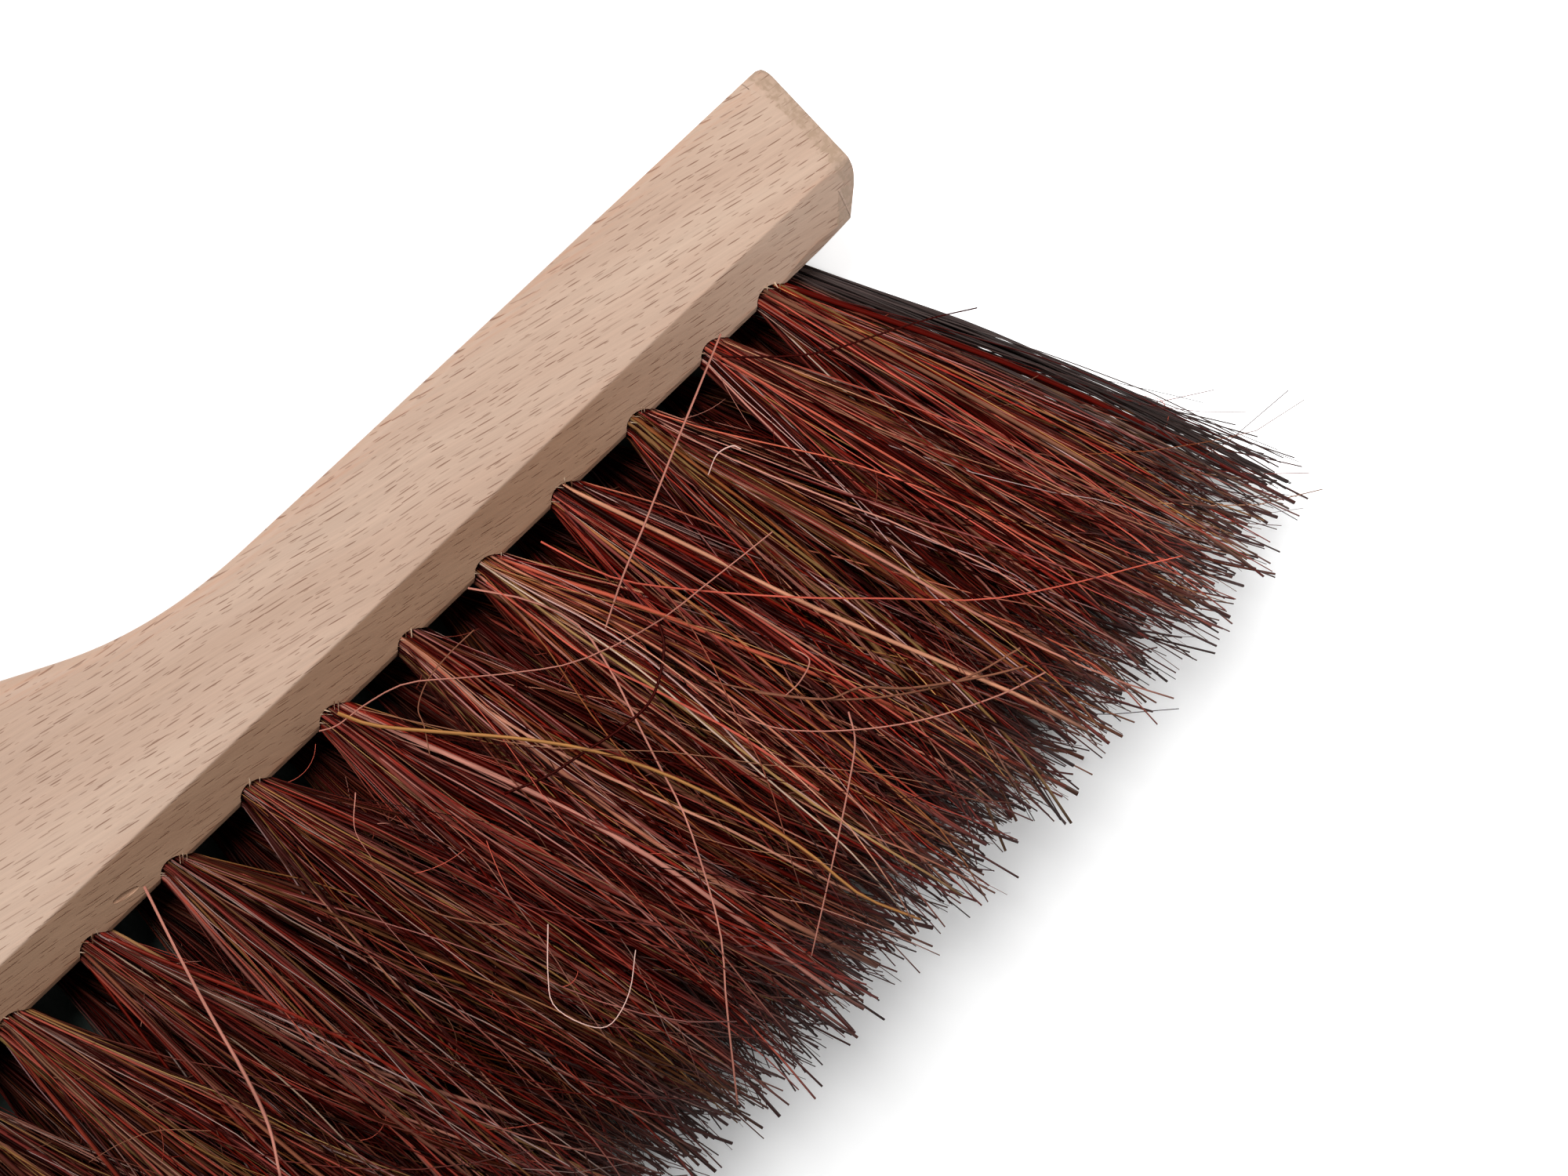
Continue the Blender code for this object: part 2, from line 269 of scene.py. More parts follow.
def heightOn(line, place):
    # a smooth curve through the knots
    for (x0, y0, m0), (x1, y1, m1) in zip(line, line[1:]):
        if place <= x1:
            break
    span = x1 - x0
    t = (place - x0) / span
    rise = y0 * (2 * t ** 3 - 3 * t ** 2 + 1) + y1 * (3 * t ** 2 - 2 * t ** 3)
    return rise + span * (m0 * (t ** 3 - 2 * t ** 2 + t) + m1 * (t ** 3 - t ** 2))


def undersideAt(place, values):
    if place >= heelLine[0][0]:
        return heightOn(heelLine, place)
    steep = values["tipCut"][0] - values["tipCut"][1] * place
    flat = (values["tipEase"][0] - place) * values["tipEase"][1]
    return max(steep, flat, 0.0)


def roundedCorner(before, corner, after, radius, steps):
    # an arc that joins two straight sides at a corner, no longer than half of either side
    toBefore, toAfter = before - corner, after - corner
    half = toBefore.angle(toAfter) / 2
    reach = min(radius / tan(half), 0.499 * toBefore.length, 0.499 * toAfter.length)
    start = corner + toBefore.normalized() * reach
    end = corner + toAfter.normalized() * reach
    weight = sin(half)  # a rational curve with this weight is a true arc
    points = []
    for t in np.linspace(0, 1, steps + 1):
        a, b, c = (1 - t) ** 2, 2 * t * (1 - t) * weight, t ** 2
        points.append((start * a + corner * b + end * c) / (a + b + c))
    return points


def roundOff(place, radius):
    # how far a rounded edge of this radius has dropped, this far from the end
    return radius - sqrt(radius ** 2 - max(radius - place, 0) ** 2)


def blockSection(place, values):
    # half outline from the bristle face to the spine, then its mirror image, with two shares at each
    # point: worn edge and sanded end grain
    long, deep = values["tipChamfer"]
    half = thickness / mm / 2 - deep * max(1 - place / long, 0) - roundOff(place, values["tipRound"])
    edge = roundOff(place, values["tipEdge"])
    low = undersideAt(place, values) + edge
    high = heightOn(spineLine, place) - edge
    grip = smoothStep(place, values["heelBlend"])
    bevelHigh, bevelWide = (blend(h, g, grip) for h, g in zip(values["bevel"], values["gripBevel"]))
    comes, goes = values["endTorn"]
    torn = smoothStep(place, comes) * (1 - smoothStep(place, goes))
    up, across = (blend(blend(r, e, torn), g, grip) for r, e, g in zip(
        values["rim"], values["endRim"], values["gripRim"]))
    foot = 0 if place < heelLine[0][0] else low  # the bevel starts here, the corner cut runs into it
    start = thickness / mm / 2 - bevelWide
    steep = bevelWide / bevelHigh
    base, perPlace, perHeight = values["tipFacet"]
    base += perPlace * place

    def wideAt(height):
        return min(start + (height - foot) * steep, base + height * perHeight, half)

    ridge = max(foot + (half - start) / steep, (half - base) / perHeight, low + up + 0.2)
    meet = (start - base) / (perHeight - steep)  # facet and bevel
    rimTop = min(max(low + up, meet), blend(low, ridge, 0.55))
    facet = float(meet > low + up)
    spineRound = blend(*values["spineRound"], smoothStep(place, values["spineBlend"]))
    flat = spineRound * 0.586  # the flat that touches an arc of this radius
    planed, begin, stop = values["spineFlat"]
    spineRound *= 1 - planed * smoothStep(place, begin) * (1 - smoothStep(place, stop))
    corners = [Vector(p) for p in (
        (low, 0), (low, min(wideAt(low), start + (low - foot) * steep - across)),
        (rimTop, wideAt(rimTop)), (ridge, half), (high - flat, half), (high, half - flat), (high, 0))]
    rimRound = blend(*values["rimRound"], grip)
    gone, wider = values["tipRidge"]
    ridgeRound = blend(*values["ridgeRound"], grip) + wider * max(1 - place / gone, 0) ** 1.5
    sanded = 1 - smoothStep(place, (long - 1.0, long + 1.0))
    rounds = [rimRound, rimRound, ridgeRound, spineRound, spineRound]
    side, marks = [], []
    for i, (radius, steps, rubbed) in enumerate(zip(rounds, (3, 3, 5, 4, 4), values["edgeRub"])):
        points = roundedCorner(*corners[i:i + 3], radius, steps)
        side += points
        end = max(facet if i < 2 else 0, sanded)
        if i > 2:
            rubbed *= 1 - smoothStep(place, begin)
        marks += [(rubbed, end)] * len(points)
        if i in (1, 2):  # points along the flat between two edges, so that wear can fade
            goal = roundedCorner(*corners[i + 1:i + 4], rounds[i + 1], 4)[0]
            for share in (0.1, 0.5, 0.9):
                side.append(points[-1].lerp(goal, share))
                marks.append((0, sanded))
    over = max(place - (values["length"] - values["endRound"]), 0) / values["endRound"]
    shrink = sqrt(max(1 - over ** 2, 0))
    middle = (low + high) / 2
    side = [(middle + (p[0] - middle) * shrink, p[1] * shrink ** 0.5) for p in side]
    ring = side + [(y, -z) for y, z in reversed(side)]
    return ring, marks + marks[::-1]


def spot(place, height, across):
    # a point as mm back from the tip, over the bristle face and over the middle of the thickness
    return tipX - place * mm, faceY + height * mm, middleZ + across * mm


def blockStations(values):
    stations = [values["tipRound"] * (1 - cos(radians(a))) for a in range(0, 90, 18)]
    chamfer = values["tipChamfer"][0]
    stations += [values["tipRound"], values["tipEdge"], 1.0, 1.5, 2.0]
    stations += [chamfer - 0.15, chamfer + 0.15, 3.0, 3.6]
    corner = (values["tipCut"][0] - 0.2) / values["tipCut"][1]
    stations += [corner - 0.15, corner + 0.15, 4.8, 5.2, 5.6, 6.0, 6.6, 7.4, 8.2]
    place = values["tipEase"][0]
    while place < values["length"] - values["endRound"] - 1.0:
        stations.append(place)
        place += 1.2 if 80 < place < 215 else 3.0
    start = values["length"] - values["endRound"]
    stations += [start + values["endRound"] * sin(radians(a)) for a in range(0, 88, 7)]
    return stations


def selectRing(first, count, points=()):
    # selects these corners of the mesh that is being edited, and moves them to the points
    shape = bmesh.from_edit_mesh(bpy.context.object.data)
    shape.verts.ensure_lookup_table()
    ring = shape.verts[first:first + count]
    for corner in ring:
        corner.select = True
    for corner, point in zip(ring, points):
        corner.co = point
    shape.select_flush(True)


def makeBlock(values):
    # a circle for each rib, its corners put on the section's outline, is bridged to the rib before it
    allMarks = []
    for k, place in enumerate(blockStations(values)):
        ring, marks = blockSection(place, values)
        count = len(ring)
        bpy.ops.mesh.primitive_circle_add(vertices=count, radius=0.01, enter_editmode=(k == 0))
        selectRing(k * count, count, [spot(place, y, z) for y, z in ring])
        allMarks += marks
        if k > 0:
            selectRing((k - 1) * count, count)
            bpy.ops.mesh.bridge_edge_loops()
        bpy.ops.mesh.select_all(action="DESELECT")
    for first in (0, k * count):  # the two ends
        selectRing(first, count)
        bpy.ops.mesh.edge_face_add()
        bpy.ops.mesh.select_all(action="DESELECT")
    bpy.ops.mesh.select_all(action="SELECT")
    bpy.ops.mesh.normals_make_consistent(inside=False)
    bpy.ops.object.mode_set(mode="OBJECT")
    block = bpy.context.object
    block.name = "beechBlock"
    for name, shares in zip(("edgeWear", "endGrain"), zip(*allMarks)):
        block.data.attributes.new(name, "FLOAT", "POINT").data.foreach_set("value", shares)
    return block


def drillBlock(block, values, roots):
    cutters = []
    length = (values["holeDepth"] + values["drillLead"]) * mm
    for root in roots.values():
        bpy.ops.mesh.primitive_cylinder_add(vertices=28, radius=values["holeRadius"] * mm, depth=length)
        drill = bpy.context.object
        middle = root["mouth"] + root["out"] * (values["drillLead"] * mm - length / 2)
        turn = root["out"].to_track_quat("Z", "X").to_matrix().to_4x4()
        drill.matrix_world = Matrix.Translation(middle) @ turn
        cutters.append(drill)
    place, radius, length = values["hangHole"]
    middle = (heightOn(spineLine, place) + heightOn(heelLine, place)) / 2
    bpy.ops.mesh.primitive_cylinder_add(
        vertices=48, radius=radius * mm, depth=length * mm, location=spot(place, middle, 0))
    cutters.append(bpy.context.object)
    place, height = values["dent"]
    high, wide = values["bevel"]
    bpy.ops.mesh.primitive_uv_sphere_add(
        segments=24, ring_count=12, radius=mm,
        location=spot(place, height, thickness / mm / 2 - (1 - height / high) * wide))
    dent = bpy.context.object
    dent.scale = values["dentRadii"]
    dent.rotation_mode = "ZYX"
    dent.rotation_euler = (atan2(high, wide), 0, radians(values["dentTurn"]))
    cutters.append(dent)
    drills = joined(cutters)
    cut = block.modifiers.new("drill", "BOOLEAN")
    cut.operation = "DIFFERENCE"
    cut.use_self = True
    cut.object = drills
    select([block])
    bpy.ops.object.modifier_apply(modifier="drill")
    bpy.data.objects.remove(drills)
    bpy.ops.object.shade_smooth_by_angle(angle=radians(values["smoothTo"]))


beechValues = {  # pairs of pairs are the stops of a ramp
    "body": ((0.25, "#B99983"), (0.5, "#C5A691"), (0.75, "#CFB39E")),
    "fleck": "#7C5540", "wear": "#B9866A", "endGrain": "#B2967F",
    "bevel": "#E4D5C6",  # painted shade: multiplies the bevel beside the tufts, which faces away from the key lamp and lies in the fibres' shade
    "bevelFrom": (12, 48),  # mm from the tip, over which that comes
    "bevelFade": 0.3,  # mm below the bevel's upper edge
    "grainTurn": 12.0,  # degrees, the grain runs off across the block
    "wander": (45.0, 1.6),  # how often the grain wanders in a metre, and how many mm
    # mm between flecks along and across the grain, their length and width, and how dark they are
    "longFleck": {"spacing": (3.9, 0.95), "length": (4.4, 1.8), "width": 0.155, "strength": (0.35, 1.0)},
    "shortFleck": {"spacing": (2.5, 0.8), "length": (1.8, 0.7), "width": 0.13, "strength": (0.0, 0.7)},
    "fleckEdge": 0.7,  # share of a fleck's half width that is fully dark
    "fleckShare": 0.85,  # of its own colour
    "lean": 0.35,  # how far the pattern slides sideways with height
    # fine streaks and broad bands, waves in a metre along the block, up and through it
    "streakScale": (60, 2600, 900), "bandScale": (10, 130, 60),
    "streakTone": ((0.3, 0.91), (0.7, 1.05)),
    "rubbed": ((0.45, 0.05), (0.7, 0.6)),  # share of the wear colour on a sanded edge's streaks
    "mottleScale": 1300.0, "mottled": ((0.42, 0.25), (0.60, 0.95)),  # the end grain's patches, and its share
    "ragged": (1.4, 1.1, 1.45),  # edge of the end grain: how far the patches shift it, start, full
    "roughness": ((0.2, 0.50), (0.8, 0.62)),
    "bump": (0.4, 0.08),  # strength, and mm
}


def makeBeech(values):
    # beech, planed, sanded and unvarnished: pinkish cream with short dark ray flecks and a dull sheen
    material, add = newMaterial("beechSanded")
    place = add("TexCoord").outputs["Object"]
    turned = add("Mapping", {"Vector": place, "Rotation": (0, 0, radians(values["grainTurn"]))})
    often, most = values["wander"]
    wander = add("TexNoise", {"Vector": turned, "Scale": often, "Detail": 1.0}).outputs["Color"]
    drift = add("VectorMath.SCALE", {0: wander, "Scale": most * mm})
    grain = add("VectorMath.ADD", {0: turned, 1: drift})
    parts = add("SeparateXYZ", {0: grain}).outputs
    across = add("Math.MULTIPLY_ADD", {0: parts["Z"], 1: values["lean"], 2: parts["Y"]})
    flat = add("CombineXYZ", {"X": parts["X"], "Y": across})

    flecks = []
    for kind in (values["longFleck"], values["shortFleck"]):
        cellSize = [1 / (n * mm) for n in kind["spacing"]]
        scaled = add("Mapping", {"Vector": flat, "Scale": (*cellSize, 1)})
        cells = add("TexVoronoi", {
            "voronoi_dimensions": "2D", "Vector": scaled, "Scale": 1.0}).outputs
        chance = add("SeparateColor", {0: cells["Color"]}).outputs
        longest, shortest = (2 * kind["spacing"][0] / length for length in kind["length"])
        stretch = add("MapRange", {0: chance[0], "To Min": longest, "To Max": shortest})
        size = add("CombineXYZ", {"X": stretch, "Y": 2 * kind["spacing"][1] / kind["width"]})
        offset = add("VectorMath.SUBTRACT", {0: scaled, 1: cells["Position"]})
        spindle = add("VectorMath.MULTIPLY", {0: offset, 1: size})
        far = add("VectorMath.LENGTH", {0: spindle}).outputs["Value"]
        spot = add("ValToRGB", {"Fac": far}, [(values["fleckEdge"], 1.0), (1.0, 0.0)])
        faint, dark = kind["strength"]
        depth = add("MapRange", {0: chance[1], "To Min": faint, "To Max": dark})
        flecks.append(add("Math.MULTIPLY", {0: spot, 1: depth}))
    marks = add("Math.MAXIMUM", {0: flecks[0], 1: flecks[1]})

    streakMap = add("Mapping", {"Vector": grain, "Scale": values["streakScale"]})
    streaks = add("TexNoise", {"Vector": streakMap, "Scale": 1.0, "Detail": 4.0, "Roughness": 0.65})
    bandMap = add("Mapping", {"Vector": grain, "Scale": values["bandScale"]})
    bands = add("TexNoise", {"Vector": bandMap, "Scale": 1.0, "Detail": 3.0})
    body = add("ValToRGB", {"Fac": bands}, values["body"])
    lines = add("ValToRGB", {"Fac": streaks}, values["streakTone"])
    lined = add("Mix", {"data_type": "RGBA", "blend_type": "MULTIPLY", 0: 1.0, 6: body, 7: lines}).outputs[2]
    share = add("Math.MULTIPLY", {0: marks, 1: values["fleckShare"]})
    flecked = add("Mix", {"data_type": "RGBA", 0: share, 6: lined, 7: values["fleck"]}).outputs[2]
    # the sanded edges are a little warmer
    wear = add("Attribute", {"attribute_name": "edgeWear"}).outputs["Fac"]
    wearLines = add("ValToRGB", {"Fac": streaks}, values["rubbed"])
    wearShare = add("Math.MULTIPLY", {0: wear, 1: wearLines})
    worn = add("Mix", {"data_type": "RGBA", 0: wearShare, 6: flecked, 7: values["wear"]}).outputs[2]
    # the end grain is greyer and mottled, and its edge ragged
    mottle = add("TexNoise", {"Vector": place, "Scale": values["mottleScale"], "Detail": 3.0})
    patches = add("ValToRGB", {"Fac": mottle}, values["mottled"])
    end = add("Attribute", {"attribute_name": "endGrain"}).outputs["Fac"]
    shift, start, full = values["ragged"]
    ragged = add("Math.MULTIPLY_ADD", {0: mottle, 1: shift, 2: end})
    reach = add("MapRange", {0: ragged, "From Min": start, "From Max": full})
    endShare = add("Math.MULTIPLY", {0: reach, 1: patches})
    ended = add("Mix", {"data_type": "RGBA", 0: endShare, 6: worn, 7: values["endGrain"]}).outputs[2]
    # painted shade: the bevel is darker, and more so away from the tip
    where = add("SeparateXYZ", {0: place}).outputs
    ridgeY = faceY + blockValues["bevel"][0] * mm
    near, far = (tipX - distance * mm for distance in values["bevelFrom"])
    beside = add("MapRange", {0: where["X"], "From Min": far, "From Max": near, "To Min": 1.0, "To Max": 0.0})
    bevel = add("MapRange", {
        0: where["Y"], "From Min": ridgeY - values["bevelFade"] * mm, "From Max": ridgeY,
        "To Min": beside, "To Max": 0.0})
    bevelShaded = add("Mix", {
        "data_type": "RGBA", "blend_type": "MULTIPLY", 0: bevel, 6: ended, 7: values["bevel"]})
    rough = add("ValToRGB", {"Fac": streaks}, values["roughness"])
    pits = add("Math.SUBTRACT", {0: streaks, 1: marks})
    height = add("Math.SUBTRACT", {0: pits, 1: endShare})
    strength, deep = values["bump"]
    bump = add("Bump", {"Strength": strength, "Distance": deep * mm, "Height": height})
    add("OutputMaterial", {"Surface": add("BsdfPrincipled", {
        "IOR": 1.5, "Specular IOR Level": 0.35, "Base Color": bevelShaded.outputs[2], "Roughness": rough,
        "Normal": bump})})
    return material


fibreValues = {
    "count": 205,  # fibres that leave one hole
    "clumps": 11,  # they lie in clumps of one colour
    "steps": 16,
    "packRadius": 2.3,  # mm, the bundle in its hole
    "clumpSize": 0.2,  # of that radius
    # degrees along the block, across it
    "fan": {"upper": (12.5, 8.5), "lower": (18.0, 8.5), "end": (8.5, 9.0)},
    "clumpTurn": 3.4, "fibreTurn": 2.4,  # degrees off the fan
    "clumpBend": 9.0, "fibreBend": 4.4,  # degrees of turn over the length
    "clumpWave": 2.8, "fibreWave": 1.8,  # degrees, side to side
    "clumpTurns": (0.5, 1.1), "fibreTurns": (0.8, 2.4),  # waves over the length
    "kink": 1.1, "endKink": 1.6,  # degrees, at each step, and how much more at the end
    "stiff": 0.7,  # share of all that which the thick fibres do
    "loose": (2.7, 0.26),  # how much more the thin ones do, and the width in mm where that fades
    "endLoose": 0.15, "tipTufts": (4, 30),  # share of it at the block's tip, and mm where it grows
    "splay": (7.5, 0.78),  # degrees the ends spread, and where along the fibre that starts
    "fanLimits": (-21, 21, 2), "bendLimits": (-28, 28, 3),  # degrees, and how softly they come
    "straighten": 0.5,  # share of the fan that is lost by the end
    "endLean": 2.2, "endSweep": -4.2,  # the end tuft leans to the tip and is swept back from it
    "endThinnest": 0.24,  # mm, its finest fibre
    "inside": 5.0,  # mm, where the modelled fibre starts in its hole
    "reach": 69.5, "shortest": 48,  # mm square to the bristle face
    "tipShort": (15.5, 17.0),  # mm shorter at the block's tip, and how soon that is over
    "shortBy": 5.4,  # mm, mean of what the trimming left uneven
    "clumpUneven": 1.6,
    "longShare": 0.05, "longBy": 3.5,
    "thinShort": 4.5, "thinUpTo": 0.3,  # mm, how much shorter than the others those up to this width can be
    "low": (0.5, 2.0), "high": (32.5, 4.0), "settle": 1.0,  # mm over the table: limit, spread; softness
    "past": (19.0, 3.0, 1.5),  # mm past the block's tip: limit, spread, softness
    "thin": 0.9,  # all widths
    # share, mm from, mm to
    "widths": ((0.50, 0.14, 0.26), (0.34, 0.26, 0.42), (0.13, 0.42, 0.68), (0.03, 0.68, 1.05)),
    "dim": (0.58, (62, 118)),  # painted shade: brightness of the tufts at the handle's side, where the light falls off, and mm from the tip where it comes
    "brightness": (-0.12, 0.6),  # mean and spread of its logarithm over the fibres
    "channelNoise": 0.05, "brightest": 0.62,
    "pale": "#D8B4A8", "paler": 0.05,  # what the brightest turn to, and how much
    "deeper": 0.9,  # how much more colour the darkest get
    "ownColor": 0.93,  # share of the fibres that don't have their clump's colour
    # painted shade: tint that darkens the fibres inside the brush, which the outer ones shade, and how it
    # changes through a tuft: by place, middle, spread
    "inner": {"upper": (0.34, 0.15, 0.13), "lower": (0.20, 0.07, 0.06), "end": (0.3, 0.2, 0.18)},
    "outward": (0.85, 0.5, 0.2),
    # the end tuft's fibres at the tip's side are nearly black, likewise, and the others are dimmer
    "tipSide": "#463B39", "toTip": (1.6, 0.75, 0.25), "tipSpread": 0.45, "endDim": 0.7,
}

# colours of the dyed fibre, and what share has them in the dark, red-brown and orange-brown tufts
fibreColors = {
    "nearBlack": ("#340201", (0.22, 0.16, 0.14)),
    "umber": ("#5A1008", (0.18, 0.16, 0.14)),
    "darkRed": ("#8A2214", (0.10, 0.14, 0.09)),
    "brown": ("#845440", (0.16, 0.12, 0.14)),
    "chestnut": ("#BC7C6C", (0.09, 0.12, 0.12)),
    "rust": ("#C85C4A", (0.06, 0.12, 0.10)),
    "orange": ("#CE8E70", (0.03, 0.04, 0.08)),
    "ochre": ("#B07A46", (0.05, 0.03, 0.09)),
    "olive": ("#86623A", (0.09, 0.05, 0.08)),
    "rosy": ("#EAC0B4", (0.06, 0.09, 0.08)),
}
paleWidest = 0.26  # mm, the rosy fibres are all fine


def holeRoots():
    # where each tuft leaves its hole, and which way, from its anchor in the frame
    roots = {}
    for name, node in frame["nodes"].items():
        if not name.startswith("anchor_"):
            continue
        points = np.array([v.co for v in node.data.vertices])
        middle = points.mean(axis=0)
        along = np.linalg.svd(points - middle)[2][0]
        along = Vector(along if along[0] > 0 else -along).normalized()
        out = Vector((along.y, -along.x, 0)).normalized()
        depth = (middle[1] - faceY) / -out.y
        roots[name.replace("anchor_", "")] = {
            "mouth": Vector(middle) + out * depth, "out": out, "along": along}
    return dict(sorted(roots.items()))


def bundlePlaces(values, rng):
    # clumps spread evenly over the hole, and each fibre near the middle of its clump
    clumps = values["clumps"]
    k = np.arange(clumps)
    turn = k * radians(137.5) + rng.uniform(0, 2 * pi)
    far = np.sqrt((k + 0.5) / clumps)
    middles = np.stack([far * np.cos(turn), far * np.sin(turn)], 1)
    clump = rng.integers(0, clumps, values["count"])
    places = middles[clump] + rng.normal(0, values["clumpSize"], (values["count"], 2))
    return clump, places / np.maximum(1, np.linalg.norm(places, axis=1))[:, None]


def softLimit(numbers, low, high, soft):
    # numbers pressed smoothly between two limits
    numbers = low + soft * np.logaddexp(0, (numbers - low) / soft)
    return high - soft * np.logaddexp(0, (high - numbers) / soft)


def bundleLines(root, row, widths, values, rng):
    # centre lines of one tuft's fibres as (fibre, step, xyz), each fibre's clump, and its place in the hole
    count, steps, clumps = values["count"], values["steps"], values["clumps"]
    clump, places = bundlePlaces(values, rng)
    more, fade = values["loose"]
    thin = np.exp(-(widths[:, None] / mm / fade) ** 2)
    loose = values["stiff"] + more * thin * rng.uniform(0, 1, (count, 1))
    fromTip = (tipX - root["mouth"].x) / mm
    loose *= blend(values["endLoose"], 1.0, smoothStep(fromTip, values["tipTufts"]))
    fan = np.array(values["fan"][row]) * places
    fan += rng.normal(0, values["clumpTurn"], (clumps, 2))[clump]
    if row == "end":
        fan[:, 0] += values["endLean"]
    fan += rng.normal(0, values["fibreTurn"], (count, 2)) * loose
    fan = np.radians(softLimit(fan, *values["fanLimits"]))
    bend = rng.normal(0, values["clumpBend"], (clumps, 2))[clump]
    bend += rng.normal(0, values["fibreBend"], (count, 2)) * loose
    bend = np.radians(softLimit(bend, *values["bendLimits"]))
    if row == "end":
        bend[:, 0] += radians(values["endSweep"])
    clumpWave = np.radians(rng.normal(0, values["clumpWave"], (clumps, 2)))[clump]
    clumpTurns = rng.uniform(*values["clumpTurns"], (clumps, 1))[clump] * 2 * pi
    clumpPhase = rng.uniform(0, 2 * pi, (clumps, 2))[clump]
    wave = np.radians(rng.normal(0, values["fibreWave"], (count, 2))) * loose
    waveTurns = rng.uniform(*values["fibreTurns"], (count, 1)) * 2 * pi
    wavePhase = rng.uniform(0, 2 * pi, (count, 2))
    kinks = np.radians(rng.normal(0, values["kink"], (steps, count, 2)))
    kinks *= (1 + values["endKink"] * np.linspace(0, 1, steps) ** 2)[:, None, None]
    kinks = kinks.cumsum(axis=0) * loose
    splay = np.radians(rng.normal(0, values["splay"][0], (count, 2))) * loose

    short, fade = values["tipShort"]
    reach = values["reach"] - short * exp(-max(fromTip, 0) / fade)
    reach = reach - rng.exponential(values["shortBy"], count)
    reach += rng.normal(0, values["clumpUneven"], clumps)[clump]
    reach = reach - rng.uniform(0, values["thinShort"], count) * (widths < values["thinUpTo"] * mm)
    long = rng.uniform(0, 1, count) < values["longShare"]
    reach = np.maximum(reach + np.where(long, rng.uniform(1, values["longBy"], count), 0), values["shortest"])

    mouth, out, along = (np.array(root[k]) for k in ("mouth", "out", "along"))
    lean = atan2(out[0], -out[1])
    shares = np.concatenate([[0.0, 0.012], np.linspace(0.035, 1, steps - 2)])
    line = np.zeros((count, len(shares) + 1, 3))  # along, up and out, in mm
    line[:, 0, :2] = places * values["packRadius"] * 0.9
    line[:, 0, 2] = -values["inside"]
    line[:, 1, :2] = places * values["packRadius"]
    for k in range(1, len(shares)):
        step = (shares[k] - shares[k - 1]) * reach
        s = (shares[k] + shares[k - 1]) / 2
        angle = fan * (1 - values["straighten"] * s) + bend * (s - 0.25) * min(1, 8 * s)
        angle += min(1, 6 * s) * clumpWave * np.sin(clumpTurns * s + clumpPhase)
        angle += min(1, 6 * s) * (wave * np.sin(waveTurns * s + wavePhase) + kinks[k])
        angle += splay * max(s - values["splay"][1], 0) / (1 - values["splay"][1])
        length = step / np.maximum(np.cos(lean + angle[:, 0]), 0.5)
        line[:, k + 1, :2] = line[:, k, :2] + np.sin(angle) * length[:, None]
        line[:, k + 1, 2] = line[:, k, 2] + np.cos(angle).prod(axis=1) * length
    up = np.array((0.0, 0.0, 1.0))
    world = mouth + (line[..., :1] * along + line[..., 1:2] * up + line[..., 2:] * out) * mm
    # fibres that would go through the table lie on it instead, and none stand far over the others
    low, high = ([limit * mm, own * mm] for limit, own in (values["low"], values["high"]))
    world[..., 2] = softLimit(
        world[..., 2], low[0] + rng.uniform(0, low[1], count)[:, None],
        high[0] - rng.uniform(0, high[1], count)[:, None], values["settle"] * mm)
    # and a fibre that would end far past the block's tip is swept back, the more the nearer its end
    past, own, soft = (number * mm for number in values["past"])
    ends = world[:, -1, 0]
    tooFar = ends - softLimit(ends, -1.0, tipX + past - rng.uniform(0, own, count), soft)
    world[..., 0] -= tooFar[:, None] * np.concatenate([[0.0], shares])
    return world, clump, places


